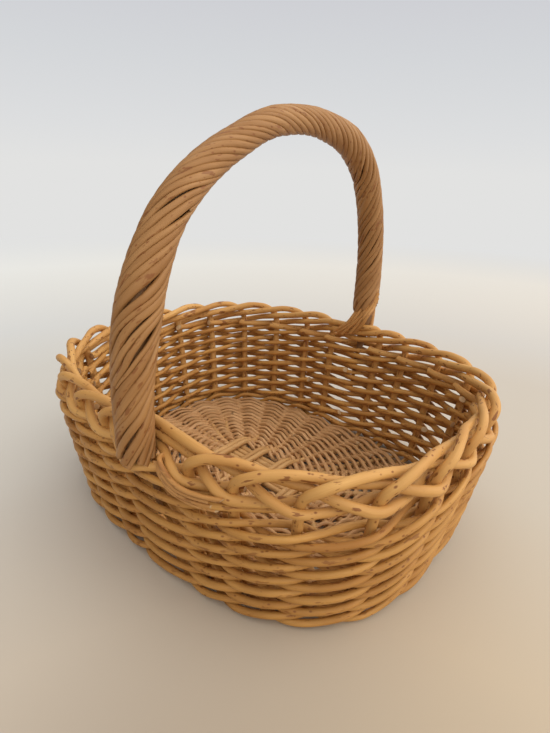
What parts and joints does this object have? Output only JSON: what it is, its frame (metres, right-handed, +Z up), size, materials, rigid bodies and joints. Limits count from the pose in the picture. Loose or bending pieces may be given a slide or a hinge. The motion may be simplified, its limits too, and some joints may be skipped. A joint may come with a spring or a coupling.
{
  "type": "foraging basket",
  "caption": "Oval willow basket with a three-rod wale wall, a trac border and a fixed bow handle wrapped in slim rods.",
  "frame": {"origin": "middle of the base's flat underside, which is the middle of the stakes' oval", "axes": "+Z up, X along the oval and Y across it; the handle's thick wrapped leg is at -Y"},
  "size_m": [0.3939, 0.3355, 0.3365],
  "materials": {
    "willow_stake": "satin, golden tan",
    "willow_wale": "satin, golden tan",
    "willow_bow": "satin, brown",
    "willow_wrap": "satin, pinkish tan",
    "willow_base_weave": "satin, tan",
    "willow_base_stick": "satin, brown tan"
  },
  "bodies": {
    "root": {"base_stick_long_1": "willow_base_stick", "base_stick_long_2": "willow_base_stick", "base_stick_long_3": "willow_base_stick", "base_stick_long_4": "willow_base_stick", "base_stick_short_1": "willow_base_stick", "base_stick_short_2": "willow_base_stick", "base_stick_short_3": "willow_base_stick", "base_stick_short_4": "willow_base_stick", "base_stick_short_5": "willow_base_stick", "base_weave_over": "willow_base_weave", "base_weave_under": "willow_base_weave", "handle_bow": "willow_bow", "handle_wrap_1": "willow_wrap", "handle_wrap_2": "willow_wrap", "handle_wrap_3": "willow_wrap", "handle_wrap_4": "willow_wrap", "handle_wrap_5": "willow_wrap", "handle_wrap_6": "willow_wrap", "handle_wrap_7": "willow_wrap", "handle_wrap_8": "willow_wrap", "handle_wrap_9": "willow_wrap", "stake_01": "willow_stake", "stake_02": "willow_stake", "stake_03": "willow_stake", "stake_04": "willow_stake", "stake_05": "willow_stake", "stake_06": "willow_stake", "stake_07": "willow_stake", "stake_08": "willow_stake", "stake_09": "willow_stake", "stake_10": "willow_stake", "stake_11": "willow_stake", "stake_12": "willow_stake", "stake_13": "willow_stake", "stake_14": "willow_stake", "stake_15": "willow_stake", "stake_16": "willow_stake", "stake_17": "willow_stake", "stake_18": "willow_stake", "stake_19": "willow_stake", "stake_20": "willow_stake", "stake_21": "willow_stake", "stake_22": "willow_stake", "stake_23": "willow_stake", "stake_24": "willow_stake", "stake_25": "willow_stake", "stake_26": "willow_stake", "wale_1a": "willow_wale", "wale_1b": "willow_wale", "wale_1c": "willow_wale", "wale_1d": "willow_wale", "wale_2a": "willow_wale", "wale_2b": "willow_wale", "wale_2c": "willow_wale", "wale_2d": "willow_wale", "wale_3a": "willow_wale", "wale_3b": "willow_wale", "wale_3c": "willow_wale", "wale_3d": "willow_wale"}
  },
  "joints": []
}
